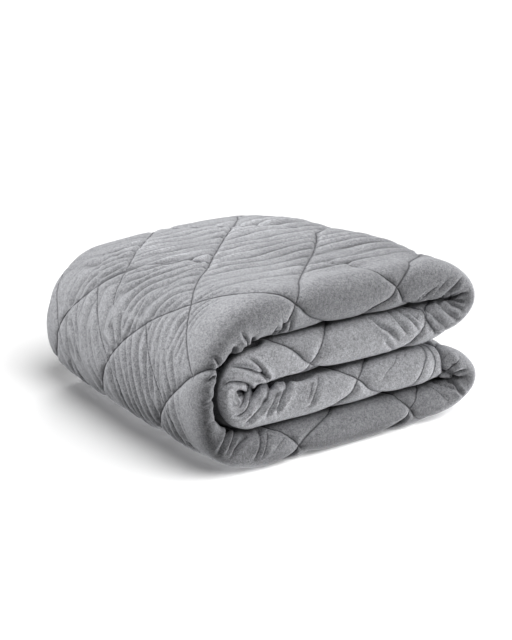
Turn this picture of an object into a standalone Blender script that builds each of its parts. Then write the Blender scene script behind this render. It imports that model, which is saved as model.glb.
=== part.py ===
"""Quilted weighted blanket, folded into a bundle.

One filled, quilted sheet. It is laid out flat at its real size, folded
lengthwise in three to a strip, and the strip is then folded back and forth
along its length. Last, the bundle settles: the pile leans, the turns pinch
and the underside lies flat.

Frame, in metres: +X along the strip, to the side where the two folded noses
show; the long rounded fold of the strip faces -Y; +Z up; the underside is at
Z = 0 and the origin is the middle of the footprint.
"""
import math

import bpy
from mathutils import Vector

# ---------------------------------------------------------------- sizes
STRIP_WIDTH = 0.520        # across the folded strip, front fold to back
PITCH = 0.0742             # height of one folded layer before settling
LAYER_GAP = 0.0040         # air between two layers of the strip
PLY_GAP = 0.0016           # air between two plies inside the strip
PLIES = 3                  # the sheet is folded lengthwise in three
STRIP_THICK = PITCH - LAYER_GAP
PLY_THICK = (STRIP_THICK - (PLIES - 1) * PLY_GAP) / PLIES
PLY_PITCH = PLY_THICK + PLY_GAP
HEM_DEPTH = 0.014          # sewn edge, pressed thinner than the filling
HEM_THICK = 0.55           # edge thickness as a share of the ply
FRONT_ROUND = 2.3          # 2 is a circular front fold, more is fuller

X_LEFT = -0.0980           # axis of the left turns
X_RIGHT = 0.1722           # axis of the right turns
X_INNER_END = 0.1700       # sewn end of the strip that shows at the front

# settled bundle
HEIGHT_LEFT = 0.2693       # front, at the left turn
HEIGHT_RIGHT = 0.2625      # front, at the noses
BACK_SINK = 0.128          # the back lies lower, as a share of the height
BACK_LEFT_SINK = 0.064
END_SINK = 0.006
LOWER_PRESS = 0.087        # the lower layers are pressed flatter
LEFT_REACH = 0.93          # left turn, width to height
LEFT_FULL = -0.31          # how blunt the left turn is
RIGHT_REACH = 1.465        # noses, width to height
UPPER_NOSE = 0.0159        # extra reach of each nose
LOWER_NOSE = 0.0246
BACK_TAPER = 0.070         # the back is narrower from side to side
BACK_SHIFT = 0.015
SKEW = 0.0523              # the front edge runs askew to the turns
CURL = 0.062               # the inner turn pushes out into the left turn
CURL_RUN = 0.200
PINCH_FRONT = 0.076        # the creases run out into the noses
PINCH_BACK = 0.044
PINCH_RUN = 0.120
BUTT = 0.0235              # the two strip ends meet upright, this far out
BUTT_RUN = 0.060

# One row for each stretch of the strip, from its inner to its outer end.
# level is in layer pitches above the ground; a turn gives its axis level and
# its radius, in pitches, and which way it goes round.
FOLDS = (
    # name            kind    level  start        end          radius turn cells
    ("inner hem",    "run",   1.5, X_INNER_END, X_INNER_END - HEM_DEPTH, 0, 0, 1),
    ("third layer",  "run",   1.5, X_INNER_END - HEM_DEPTH, X_LEFT, 0, 0, 6),
    ("inner turn",   "turn",  2.0, X_LEFT,      X_LEFT,      0.5, -1,  8),
    ("second layer", "run",   2.5, X_LEFT,      X_RIGHT,     0,    0,  6),
    ("upper nose",   "turn",  3.0, X_RIGHT,     X_RIGHT,     0.5,  1,  9),
    ("top layer",    "run",   3.5, X_RIGHT,     X_LEFT,      0,    0,  6),
    ("left turn",    "turn",  2.0, X_LEFT,      X_LEFT,      1.5,  1, 15),
    ("bottom layer", "run",   0.5, X_LEFT,      X_RIGHT,     0,    0,  6),
    ("lower nose",   "turn",  1.0, X_RIGHT,     X_RIGHT,     0.5,  1,  9),
)

# One row for each part of the sheet across the strip, from the hem of the top
# ply, round the front fold, back, and round the back fold to the inner hem.
ACROSS = (
    # name          cells
    ("outer hem",     1),
    ("upper ply",     4),
    ("front fold",    8),
    ("lower ply",     5),
    ("back fold",     5),
    ("inner ply",     4),
    ("inner hem",     1),
)

GREY = (0.365, 0.368, 0.385, 1.0)


def smooth(t):
    t = min(1.0, max(0.0, t))
    return t * t * (3.0 - 2.0 * t)


def strip_rows():
    """Stations along the strip: axis point (x, z), left-hand normal, edge."""
    rows = []
    for name, kind, level, start, end, radius, turn, cells in FOLDS:
        first = 0 if not rows else 1
        for i in range(first, cells + 1):
            t = i / cells
            if kind == "run":
                way = 1.0 if end > start else -1.0
                rows.append((start + (end - start) * t, level * PITCH, 0.0, way))
            else:
                # a turn starts below its axis, unless it comes off the top
                begin = math.pi / 2 if name == "left turn" else -math.pi / 2
                a = begin + turn * math.pi * t
                x = start + radius * PITCH * math.cos(a)
                z = level * PITCH + radius * PITCH * math.sin(a)
                rows.append((x, z, -turn * math.cos(a), -turn * math.sin(a)))
    return rows


def hem_factor(distance):
    """Share of the full thickness at a distance from a sewn edge."""
    return HEM_THICK + (1.0 - HEM_THICK) * smooth(distance / HEM_DEPTH)


def across_columns():
    """Middle of the sheet across the strip: (w, h), outward normal, factor."""
    half = STRIP_THICK / 2
    h_out = half - PLY_THICK / 2
    w_front = half
    h_in = -h_out + PLY_PITCH
    r_back = PLY_PITCH / 2
    w_back = STRIP_WIDTH - r_back - PLY_THICK / 2
    w_inner_end = w_front + 0.004
    cols = []
    for name, cells in ACROSS:
        first = 0 if not cols else 1
        for i in range(first, cells + 1):
            t = i / cells
            if name == "outer hem":
                w = STRIP_WIDTH - HEM_DEPTH * t
                cols.append((w, h_out, 0.0, 1.0, hem_factor(HEM_DEPTH * t)))
            elif name == "upper ply":
                w = STRIP_WIDTH - HEM_DEPTH
                cols.append((w + (w_front - w) * t, h_out, 0.0, 1.0, 1.0))
            elif name == "front fold":
                a = math.pi / 2 - math.pi * t
                c = max(0.0, math.cos(a)) ** (2.0 / FRONT_ROUND)
                s = math.copysign(abs(math.sin(a)) ** (2.0 / FRONT_ROUND), a)
                cols.append((w_front - h_out * c, h_out * s, -c, s, 1.0))
            elif name == "lower ply":
                cols.append((w_front + (w_back - w_front) * t, -h_out, 0.0, -1.0, 1.0))
            elif name == "back fold":
                a = -math.pi / 2 + math.pi * t
                cols.append((w_back + r_back * math.cos(a),
                             -h_out + r_back + r_back * math.sin(a),
                             math.cos(a), math.sin(a), 1.0))
            elif name == "inner ply":
                w = w_inner_end + HEM_DEPTH
                cols.append((w_back + (w - w_back) * t, h_in, 0.0, 1.0, 1.0))
            else:
                w = w_inner_end + HEM_DEPTH * (1.0 - t)
                cols.append((w, h_in, 0.0, 1.0, hem_factor(HEM_DEPTH * (1.0 - t))))
    return cols


def settle(x, y, z):
    """Take a point of the evenly folded strip to its place in the bundle."""
    v = min(1.0, max(0.0, y / STRIP_WIDTH + 0.5))
    mid = 2.0 * PITCH
    # the inner turn curls out into the left turn
    lift = abs(z - mid)
    rho = math.hypot(x - X_LEFT, lift) if x < X_LEFT else lift
    fade = 1.0 if x < X_LEFT else smooth(1.0 - (x - X_LEFT) / CURL_RUN)
    shift = -CURL * max(0.0, 1.0 - rho / mid) * fade
    # the creases of both noses run out to the right
    lift = abs(z - (3.0 * PITCH if z > mid else PITCH))
    rho = math.hypot(x - X_RIGHT, lift) if x > X_RIGHT else lift
    fade = 1.0 if x > X_RIGHT else smooth(1.0 - (X_RIGHT - x) / PINCH_RUN)
    pinch = PINCH_BACK + (PINCH_FRONT - PINCH_BACK) * max(0.0, 1.0 - v / 0.25) ** 2
    pull = pinch / RIGHT_REACH * max(0.0, 1.0 - rho / PITCH)
    if PITCH < z < mid:
        # the sewn end and the tucked end stand face to face
        if x > X_RIGHT:
            near = smooth(math.atan2(z - PITCH, x - X_RIGHT) / math.radians(40.0) - 1.25)
        else:
            near = smooth(1.0 - (X_RIGHT - x) / BUTT_RUN)
        pull += (BUTT - pull) * near
    x += shift + pull * fade
    # width of the turns
    length = X_RIGHT - X_LEFT + 3.0 * PITCH
    u = min(1.0, max(0.0, (x - X_LEFT + mid) / length))
    share = (z - LAYER_GAP / 2) / (4.0 * PITCH - LAYER_GAP)
    if x < X_LEFT:
        d = X_LEFT - x
        x = X_LEFT - d * LEFT_REACH * (1.0 + LEFT_FULL * (d / mid - 1.0))
    elif x > X_RIGHT:
        e = x - X_RIGHT
        upper = min(1.0, max(0.0, (share - 0.5) * 8.0 + 0.5))
        reach = UPPER_NOSE * upper + LOWER_NOSE * (1.0 - upper)
        x = X_RIGHT + e * RIGHT_REACH + e / PITCH * reach
    # height of the pile
    height = HEIGHT_LEFT + (HEIGHT_RIGHT - HEIGHT_LEFT) * u
    height *= (1.0 - BACK_SINK * v * v - BACK_LEFT_SINK * (1.0 - u) ** 2 * v * v
               - END_SINK * (2.0 * u - 1.0) ** 2)
    share -= LOWER_PRESS * share * (1.0 - share)
    # plan
    x = x * (1.0 - BACK_TAPER * v ** 4) + BACK_SHIFT * (1.0 - u) * v * v
    return Vector((x, y + SKEW * x, share * height))


def fold_blanket():
    """Flat sheet with its thickness, then folded across, along and settled."""
    rows = strip_rows()
    cols = across_columns()
    nx, ny = len(cols) - 1, len(rows) - 1
    bpy.ops.mesh.primitive_grid_add(x_subdivisions=nx, y_subdivisions=ny, size=2.0)
    obj = bpy.context.object
    obj.name = "blanket"
    thick = obj.modifiers.new("Thickness", "SOLIDIFY")
    thick.thickness = 0.2
    thick.offset = 0.0
    bpy.ops.object.modifier_apply(modifier=thick.name)
    for vert in obj.data.vertices:
        i = round((vert.co.x + 1.0) / 2.0 * nx)
        j = round((vert.co.y + 1.0) / 2.0 * ny)
        side = 1.0 if vert.co.z > 0.0 else -1.0
        w, h, nw, nh, full = cols[i]
        if j in (0, ny):
            full = min(full, HEM_THICK)
        q = side * full * PLY_THICK / 2
        # across the strip
        w += nw * q
        h += nh * q
        # along the strip
        x, z, ax, az = rows[j]
        vert.co = settle(x + ax * h, w - STRIP_WIDTH / 2, z + az * h)
    return obj


def centre_on_footprint(obj):
    xs = [v.co.x for v in obj.data.vertices]
    ys = [v.co.y for v in obj.data.vertices]
    middle = Vector(((min(xs) + max(xs)) / 2, (min(ys) + max(ys)) / 2, 0.0))
    for vert in obj.data.vertices:
        vert.co -= middle


def face_outward(obj):
    """Turn the faces round if the folded solid came out inside out."""
    volume = 0.0
    mesh = obj.data
    mesh.calc_loop_triangles()
    for tri in mesh.loop_triangles:
        a, b, c = (mesh.vertices[k].co for k in tri.vertices)
        volume += a.dot(b.cross(c)) / 6.0
    if volume < 0.0:
        mesh.flip_normals()


def main():
    for old in list(bpy.data.objects):
        bpy.data.objects.remove(old, do_unlink=True)
    group = bpy.data.collections.new("weighted_blanket")
    bpy.context.scene.collection.children.link(group)

    blanket = fold_blanket()
    for owner in list(blanket.users_collection):
        owner.objects.unlink(blanket)
    group.objects.link(blanket)
    centre_on_footprint(blanket)
    face_outward(blanket)

    cloth = bpy.data.materials.new("brushed_cloth")
    cloth.use_nodes = True
    shader = cloth.node_tree.nodes["Principled BSDF"]
    shader.inputs["Base Color"].default_value = GREY
    shader.inputs["Roughness"].default_value = 0.92
    shader.inputs["Metallic"].default_value = 0.0
    blanket.data.materials.append(cloth)
    blanket.data.shade_smooth()
    blanket.data.set_sharp_from_angle(angle=math.radians(40.0))


main()
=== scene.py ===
"""Looks of the folded weighted blanket: one closed quilted sheet, built in the
same fold as the CAD solid, with its sewn diamonds, gathers and creases.

The mesh is laid out on a lattice round the section of the folded sheet (u)
and along the folded strip (s). Places on the cloth are given as (a, s) in
millimetres: a is the way round the skin from the crest of the front fold,
towards the outer ply, and s is the way along the strip from its inner end.
"""
import math

import bpy
import numpy as np
from mathutils import Matrix, Vector


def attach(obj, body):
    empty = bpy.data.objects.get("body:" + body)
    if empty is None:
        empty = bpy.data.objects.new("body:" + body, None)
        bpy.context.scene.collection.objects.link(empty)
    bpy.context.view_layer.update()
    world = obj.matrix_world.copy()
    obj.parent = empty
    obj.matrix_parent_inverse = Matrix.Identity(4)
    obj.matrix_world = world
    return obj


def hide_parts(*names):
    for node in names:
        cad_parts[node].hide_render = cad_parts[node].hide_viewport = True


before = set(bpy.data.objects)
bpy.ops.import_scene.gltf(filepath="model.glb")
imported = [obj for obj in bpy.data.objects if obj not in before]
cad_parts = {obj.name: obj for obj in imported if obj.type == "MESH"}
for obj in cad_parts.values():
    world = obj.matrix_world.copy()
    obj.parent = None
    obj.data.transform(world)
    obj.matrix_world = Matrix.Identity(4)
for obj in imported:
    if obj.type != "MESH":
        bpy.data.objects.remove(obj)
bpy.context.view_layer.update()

# ------------------------------------------------------------ fold, metres
STRIP_WIDTH = 0.520
PITCH = 0.0742
LAYER_GAP = 0.0040
PLY_GAP = 0.0016
PLIES = 3
STRIP_THICK = PITCH - LAYER_GAP
PLY_THICK = (STRIP_THICK - (PLIES - 1) * PLY_GAP) / PLIES
PLY_PITCH = PLY_THICK + PLY_GAP
HEM_DEPTH = 0.014
HEM_THICK = 0.55
FRONT_ROUND = 2.3
X_LEFT = -0.0980
X_RIGHT = 0.1722
X_INNER_END = 0.1770       # the hem of the cloth stands a little proud
HEIGHT_LEFT = 0.2693
HEIGHT_RIGHT = 0.2625
BACK_SINK = 0.128
BACK_LEFT_SINK = 0.064
END_SINK = 0.006
LOWER_PRESS = 0.087
LEFT_REACH = 0.93
LEFT_FULL = -0.31
RIGHT_REACH = 1.465
UPPER_NOSE = 0.0159
LOWER_NOSE = 0.0246
BACK_TAPER = 0.070
BACK_SHIFT = 0.015
SKEW = 0.0523
CURL = 0.062
CURL_RUN = 0.200
PINCH_FRONT = 0.076
PINCH_BACK = 0.044
PINCH_RUN = 0.120
BUTT = 0.0235
BUTT_RUN = 0.060
TAIL_SHORT = 0.935          # the tucked end stops short of the hem
FOOTPRINT_MIDDLE = np.array((0.03364, 0.00060, 0.0))

FRONT_R = STRIP_THICK / 2
FRONT_ARC = math.pi / 2 * FRONT_R

# ------------------------------------------------------------ lattice
BLOCK = 8                  # fine cells along each side of a block
# One row per stretch of the strip: level and radius in pitches, as in the CAD.
FOLDS = (
    # name            kind    level  start        end        radius turn cells length
    ("inner hem",    "run",   1.5, X_INNER_END, X_INNER_END - 0.020, 0, 0, 8, 13.0),
    ("third layer",  "run",   1.5, X_INNER_END - 0.020, X_LEFT, 0, 0, 96, 255.0),
    ("inner turn",   "turn",  2.0, X_LEFT,      X_LEFT,      0.5, -1, 64, 116.6),
    ("second layer", "run",   2.5, X_LEFT,      X_RIGHT,     0,    0, 104, 270.2),
    ("upper nose",   "turn",  3.0, X_RIGHT,     X_RIGHT,     0.5,  1, 72, 116.6),
    ("top layer",    "run",   3.5, X_RIGHT,     X_LEFT,      0,    0, 80, 270.2),
    ("left turn",    "turn",  2.0, X_LEFT,      X_LEFT,      1.5,  1, 128, 349.7),
    ("bottom layer", "run",   0.5, X_LEFT,      X_RIGHT,     0,    0, 72, 270.2),
    ("lower nose",   "turn",  1.0, X_RIGHT,     X_RIGHT,     0.5,  1, 72, 116.6),
)
# Round the outer side of the sheet, from the back hem of the upper ply.
SECTION = (
    # name         cells
    ("outer hem",    8),
    ("upper ply",  152),
    ("front fold",  48),
    ("lower ply",  144),
    ("back fold",   24),
    ("inner ply",  144),
    ("inner hem",    8),
)
FINE_FRONT = 0.060         # the front fold is fine this far round, each way
HEM_RUN = 0.024
RIM = 8

# ------------------------------------------------------------ seams, mm
# Falling seams: s goes down as a goes up. Each row: where it shows, then its
# points (a, s), first to last a.
FALLING = (
    (((-60, 600),), ((-19, 132), (-7, 120), (12, 108), (24, 100), (40, 91))),
    (((400, 600),), ((-30, 312), (30, 268))),
    (((-60, 600),), ((-49, 503), (-33, 496), (-4, 486), (15, 478), (26, 475))),
    (((-60, 90),), ((-41, 632), (-27, 631), (-17, 632), (-2, 636), (6, 638), (23, 636), (60, 612))),
    (((-60, 600),), ((-35, 867), (-25, 864), (-7, 840), (5, 827), (21, 806), (42, 779), (60, 766), (80, 757), (110, 749), (150, 740), (200, 722), (300, 664), (400, 616))),
    (((-60, 600),), ((-33, 1012), (-1, 1000), (12, 997), (44, 985), (114, 924), (184, 856), (311, 760), (420, 711), (520, 666))),
    (((46, 600),), ((-40, 1262), (0, 1230), (51, 1186), (94, 1141), (124, 1106), (153, 1084), (234, 1020), (362, 910), (499, 780), (520, 765))),
    (((-60, 203), (300, 600)), ((-39, 1510), (-20, 1483), (5, 1444), (21, 1430), (95, 1307), (110, 1286), (128, 1244), (174, 1182), (202, 1153), (306, 1146), (329, 1112), (346, 1092), (422, 1039), (520, 954))),
    (((-60, 382),), ((-48, 1635), (-31, 1631), (-17, 1630), (-5, 1627), (5, 1627), (15, 1620), (100, 1530), (200, 1400), (260, 1291), (266, 1253), (293, 1219), (332, 1178), (381, 1128), (422, 1095), (520, 1040))),
    (((30, 600),), ((20, 1720), (130, 1600), (250, 1480), (380, 1340), (456, 1246), (478, 1210), (496, 1178), (516, 1153), (527, 1122), (560, 1080))),
    (((30, 600),), ((60, 1760), (150, 1700), (300, 1560), (400, 1440), (520, 1300))),
    (((30, 600),), ((150, 1770), (300, 1690), (400, 1620), (520, 1500))),
    (((30, 600),), ((300, 1780), (400, 1720), (520, 1650))),
)
# Rising seams: s goes up with a.
RISING = (
    (((-60, 600),), ((-20, 86), (12, 108), (28, 121), (40, 128))),
    (((400, 600),), ((-30, 262), (30, 312))),
    (((-60, 600),), ((-40, 421), (-26, 436), (-3, 458), (15, 478), (31, 490))),
    (((-60, 60),), ((-46, 624), (-34, 628), (-20, 631), (-13, 634), (-7, 638), (-1, 644), (5, 653), (16, 662), (40, 684), (127, 713), (180, 745), (300, 800), (520, 960))),
    (((-60, 124), (226, 600)), ((-24, 823), (-10, 825), (5, 827), (23, 836), (58, 845), (92, 864), (111, 882), (120, 905), (170, 960), (238, 1019), (269, 1049), (299, 1067), (347, 1095), (396, 1139), (478, 1210), (495, 1243), (520, 1275))),
    (((-60, 600),), ((-24, 946), (3, 985), (12, 997), (34, 1022), (51, 1046), (81, 1070), (124, 1106), (202, 1153), (293, 1219), (314, 1243), (351, 1291), (400, 1350), (520, 1480))),
    (((-60, 600),), ((-30, 1146), (-7, 1158), (45, 1184), (77, 1206), (128, 1244), (171, 1292), (250, 1390), (400, 1560), (520, 1690))),
    (((40, 600),), ((-48, 1270), (0, 1305), (60, 1370), (200, 1520), (400, 1720))),
    (((-60, 600),), ((-33, 1429), (-16, 1435), (5, 1444), (17, 1448), (60, 1490), (200, 1630), (350, 1750))),
    (((-60, 600),), ((-46, 1606), (-29, 1610), (-16, 1617), (-6, 1625), (3, 1635), (14, 1647), (60, 1700), (150, 1760))),
)
SLOPE = 0.87               # of both kinds beyond their points

SEAM_SINK = 3.4            # mm below the CAD skin
PUFF = 5.2                 # mm from the seam to the crown of a diamond
PUFF_RUN = 11.0
GROOVE = 1.0
GROOVE_RUN = 3.0
# Rows of stitches along the sewn inner end, points (a, s)
HEM_ROWS = (
    ((90, 5), (26, 5), (9, 5), (-3, 6), (-16, 8), (-60, 12)),
    ((90, 6), (48, 8), (29, 9), (16, 11), (3, 15), (-8, 21), (-22, 29), (-60, 60)),
)

# ------------------------------------------------------------ creases, mm
# name, half width, depth, points (a, s) from its deep end out
CREASES = (
    ("lobe one", 2.4, 4.5, ((13, 414), (4, 408), (-5, 397), (-13, 387), (-22, 376))),
    ("lobe two", 2.8, 7.5, ((14, 417), (8, 408), (0, 390), (-8, 373), (-22, 361), (-30, 354))),
    ("lobe three", 2.8, 7.5, ((29, 400), (21, 391), (5, 360), (-8, 348), (-20, 338), (-28, 331))),
    ("core one", 1.8, 5.0, ((27, 400), (48, 244), (42, 251), (42, 254), (39, 262), (34, 263))),
    ("core two", 1.6, 4.0, ((36, 258), (35, 264), (35, 277))),
    ("swirl one", 2.2, 6.6, ((41, 252), (28, 259), (18, 271), (8, 292))),
    ("swirl two", 2.6, 7.8, ((26, 250), (14, 259), (5, 272), (-1, 287), (-9, 299))),
    ("swirl three", 3.0, 7.2, ((15, 236), (5, 245), (-1, 257), (-8, 270), (-16, 281))),
    ("gather short", 2.6, 6.0, ((27, 226), (14, 235), (8, 241))),
    ("gather three", 3.0, 5.4, ((18, 220), (8, 228), (-1, 238), (-12, 248))),
    ("gather four", 2.4, 4.2, ((21, 210), (4, 223), (-10, 232))),
    ("gather deep", 3.2, 9.6, ((36, 198), (24, 204), (11, 215), (-1, 227), (-10, 232))),
    ("gather five", 3.0, 5.4, ((32, 158), (20, 163), (6, 172), (-6, 181), (-12, 192))),
    ("gather six", 2.6, 3.1, ((20, 173), (6, 180), (-1, 187))),
    ("core bulge", 9.0, -5.0, ((36, 282), (36, 300), (34, 330))),
    ("coil rim", 4.5, 8.0, ((-47, 400), (-48, 375), (-47, 350), (-46, 335))),
    ("wrap rim", 4.0, 5.0, ((-40, 1150), (-36, 1180), (-38, 1220), (-40, 1260), (-42, 1300))),
    ("edge bulge", 17.0, -7.5, ((-30, 1072), (-32, 1084))),
    ("edge scallop", 4.5, 8.0, ((-40, 1128), (-28, 1118), (-16, 1110))),
    ("pocket a", 4.5, 13.0, ((46, 235), (34, 242), (21, 252))),
    ("pocket b", 4.0, 12.0, ((48, 214), (34, 221), (28, 226))),
    ("pocket rim", 5.0, 11.0, ((48, 234), (50, 223), (48, 214), (44, 198), (40, 178), (42, 150))),
    ("pocket lid", 5.0, 11.0, ((37, 410), (33, 419), (35, 430), (32, 439), (33, 456), (35, 475), (36, 503))),
    ("wrap deep", 3.5, 9.0, ((-55, 1344), (-20, 1309), (0, 1301), (14, 1301), (30, 1306))),
    ("low a", 2.6, 4.5, ((-50, 1357), (-13, 1321), (17, 1312))),
    ("low b", 2.6, 4.5, ((-31, 1367), (-8, 1334), (20, 1321))),
    ("low notch", 4.0, 9.0, ((-40, 1403), (-27, 1397))),
    ("low c", 2.8, 6.0, ((-27, 1397), (-19, 1392), (-4, 1379), (11, 1363))),
    ("low d", 2.6, 4.5, ((-31, 1409), (-14, 1398), (0, 1384), (10, 1372))),
    ("low e", 2.4, 2.2, ((-14, 1427), (-8, 1415), (3, 1396))),
    ("wrap notch", 2.8, 7.0, ((-6, 1172), (-1, 1176), (6, 1182), (14, 1183))),
    ("wrap b", 3.4, 3.2, ((-16, 1211), (-10, 1213), (5, 1216), (18, 1220))),
    ("wrap c", 3.4, 1.8, ((-10, 1253), (5, 1248), (18, 1250))),
    ("front tuck", 2.6, 5.0, ((-6, 1147), (6, 1148), (18, 1150))),
    ("notch a", 3.6, 9.0, ((-36, 1108), (-24, 1104), (-12, 1101))),
    ("front pleat", 2.4, 4.5, ((-29, 1076), (-33, 1064), (-8, 1082), (6, 1092))),
    ("notch b", 3.4, 9.0, ((-42, 1050), (-34, 1050), (-20, 1057))),
    ("notch c", 2.6, 4.5, ((-38, 1012), (-21, 1018), (-8, 1021))),
    ("fan one", 2.2, 3.0, ((-36, 1004), (-19, 1004), (-8, 1013), (0, 1020))),
    ("fan two", 2.2, 3.0, ((-33, 989), (-16, 996), (-6, 997))),
    ("nose f1", 3.0, 5.0, ((-30, 804), (-19, 798), (-9, 788), (-2, 778), (7, 767))),
    ("nose f2", 2.8, 3.6, ((-34, 812), (-24, 806), (-13, 798), (-3, 789))),
    ("nose f3", 3.4, 6.0, ((-42, 784), (-36, 780), (-21, 774), (-8, 757), (9, 745), (18, 738))),
    ("nose f4", 3.0, 4.0, ((-27, 796), (-19, 788), (-8, 779), (0, 767), (12, 758))),
    ("nose tip", 3.2, 9.0, ((-42, 646), (-44, 664), (-36, 728), (-20, 733), (0, 726))),
    ("nose g1", 3.2, 5.5, ((-38, 653), (-27, 671), (-15, 682), (-1, 686))),
    ("nose g2", 3.0, 4.5, ((-38, 684), (-25, 693), (-8, 700))),
    ("nose g3", 3.2, 5.0, ((-38, 644), (-22, 650), (-2, 673), (15, 684))),
    ("nose g4", 3.2, 5.0, ((-36, 632), (-21, 637), (-6, 649), (18, 672))),
    ("second a", 3.0, 7.4, ((-38, 565), (-22, 572), (-10, 583), (2, 596), (11, 607))),
    ("second b", 3.0, 4.3, ((-43, 592), (-25, 595), (-8, 604), (9, 623))),
    ("second c", 3.0, 4.3, ((-43, 602), (-24, 611), (-7, 624), (4, 637))),
    ("second d", 3.0, 4.1, ((-44, 612), (-25, 619), (-9, 630))),
    ("second e", 2.2, 2.8, ((-44, 623), (-27, 626), (-13, 631))),
    ("second f", 3.0, 2.6, ((4, 581), (16, 593), (35, 614))),
    ("third a", 4.2, 2.2, ((36, 37), (22, 48), (10, 67), (-4, 82))),
    ("third b", 4.0, 1.5, ((35, 25), (21, 40), (10, 55))),
    ("low nose tip", 3.0, 8.0, ((-14, 1771), (-28, 1757), (-34, 1738), (-13, 1726))),
    ("low nose up", 2.8, 5.5, ((-12, 1771), (-8, 1766), (-2, 1762), (22, 1750))),
    ("low nose mid", 2.8, 5.5, ((-13, 1771), (-16, 1760), (-10, 1750), (3, 1739))),
    ("low nose far", 3.1, 3.4, ((-3, 1772), (11, 1770), (34, 1753))),
    ("low nose h4", 3.0, 6.5, ((-36, 1666), (-30, 1680), (-8, 1686), (16, 1694))),
    ("low nose h5", 3.0, 5.0, ((-45, 1649), (-33, 1655), (-20, 1673), (8, 1690))),
    ("low nose h6", 3.1, 3.7, ((-42, 1642), (-30, 1646), (-12, 1657), (5, 1675))),
)

# ------------------------------------------------------------ ripples, mm
RIPPLE = 2.3              # height of the gathers between the seams
RIPPLE_STEP = 14.5         # from crest to crest on the left turn
RIPPLE_WIDE = 31.0         # and on the top layer
CREASE_GAIN = 0.85
CHANNELS = 4
CORE_FULL = 0.95           # how far the middle of the coil fills its hollow
CORE_WAY = np.array((-0.42, -0.86, 0.25))
COIL_PAINTED_LIGHT = 0.50            # painted light: how much lighter the inner coil is painted
# painted shade: how much darker the clefts are painted
CLEFT_PAINTED_SHADE = 0.72
WRAP_PAINTED_SHADE = 0.28            # painted shade: how much darker it is painted where the top layer wraps down

# ------------------------------------------------------------ camera
CAM_SCALE = 0.52 / 0.508
CAM_AZ = -33.8754
CAM_EL = 17.8657
CAM_DIST = 3.1062 * CAM_SCALE
CAM_TARGET = (0.0412 * CAM_SCALE, 0.0, 0.1298 * CAM_SCALE)
CAM_FOCAL_PX = 2000.0


# ------------------------------------------------------------ light
# name, azimuth, elevation, strength, spread in degrees: large soft sources
LIGHTS = (
    ("key_right", 90.0, 50.0, 1.34, 45.0),
    ("key_front", 45.0, 50.0, 0.58, 45.0),
    ("front_right_low", 45.0, 15.0, 0.44, 35.0),
    ("back_left_low", 225.0, 15.0, 1.56, 35.0),
    ("back_left", 225.0, 50.0, 1.59, 45.0),
    ("front_left", 315.0, 50.0, 0.92, 45.0),
    ("left_low", 270.0, 15.0, 0.56, 35.0),
    ("low_bounce", 90.0, -35.0, 7.13, 60.0),
    ("floor_back_right", 135.0, 15.0, 2.45, 35.0),
    ("floor_front_right", 45.0, 15.0, 0.24, 35.0),
    ("floor_front", 0.0, 50.0, 4.05, 45.0),
)
WORLD = 0.01
FLOOR_GLOW = 0.10


# ============================================================ small maths
def smooth(t):
    t = np.clip(t, 0.0, 1.0)
    return t * t * (3.0 - 2.0 * t)


def bump(x, lo, hi, soft):
    """1 between lo and hi, falling to 0 over soft on each side."""
    return smooth((x - lo) / soft + 1.0) * smooth((hi - x) / soft + 1.0)


def curve_through(points, x, slope):
    """Shape-keeping cubic through points, straight with slope outside them.
    Gives the value and its slope at each x."""
    px = np.array([p[0] for p in points], float)
    py = np.array([p[1] for p in points], float)
    step, rise = np.diff(px), np.diff(py)
    sec = rise / step
    tan = np.empty_like(py)
    tan[0], tan[-1] = sec[0], sec[-1]
    if len(px) > 2:
        w1 = 2 * step[1:] + step[:-1]
        w2 = step[1:] + 2 * step[:-1]
        same = sec[1:] * sec[:-1] > 0
        with np.errstate(divide="ignore", invalid="ignore"):
            mean = (w1 + w2) / (w1 / sec[:-1] + w2 / sec[1:])
        tan[1:-1] = np.where(same, mean, 0.0)
    k = np.clip(np.searchsorted(px, x) - 1, 0, len(px) - 2)
    t = np.clip((x - px[k]) / step[k], 0.0, 1.0)
    h = step[k]
    y = ((1 + 2 * t) * (1 - t) ** 2 * py[k] + t * (1 - t) ** 2 * h * tan[k]
         + t * t * (3 - 2 * t) * py[k + 1] + t * t * (t - 1) * h * tan[k + 1])
    dy = (6 * t * (t - 1) * (py[k] - py[k + 1]) / h
          + (1 - t) * (1 - 3 * t) * tan[k] + t * (3 * t - 2) * tan[k + 1])
    under, over = np.minimum(0.0, x - px[0]), np.maximum(0.0, x - px[-1])
    out = (under < 0) | (over > 0)
    return y + slope * (under + over), np.where(out, slope, dy)


def hash_grid(seed, size=64):
    return np.random.RandomState(seed).uniform(-1.0, 1.0, (size, size))


def noise(x, y, seed):
    """Smooth value noise, about -1 to 1, one lump per unit."""
    grid = hash_grid(seed)
    n = grid.shape[0]
    i, j = np.floor(x).astype(int), np.floor(y).astype(int)
    u, v = x - i, y - j
    u, v = u * u * u * (u * (6 * u - 15) + 10), v * v * v * (v * (6 * v - 15) + 10)
    g = lambda di, dj: grid[(i + di) % n, (j + dj) % n]
    return ((g(0, 0) * (1 - u) + g(1, 0) * u) * (1 - v)
            + (g(0, 1) * (1 - u) + g(1, 1) * u) * v)


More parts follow.
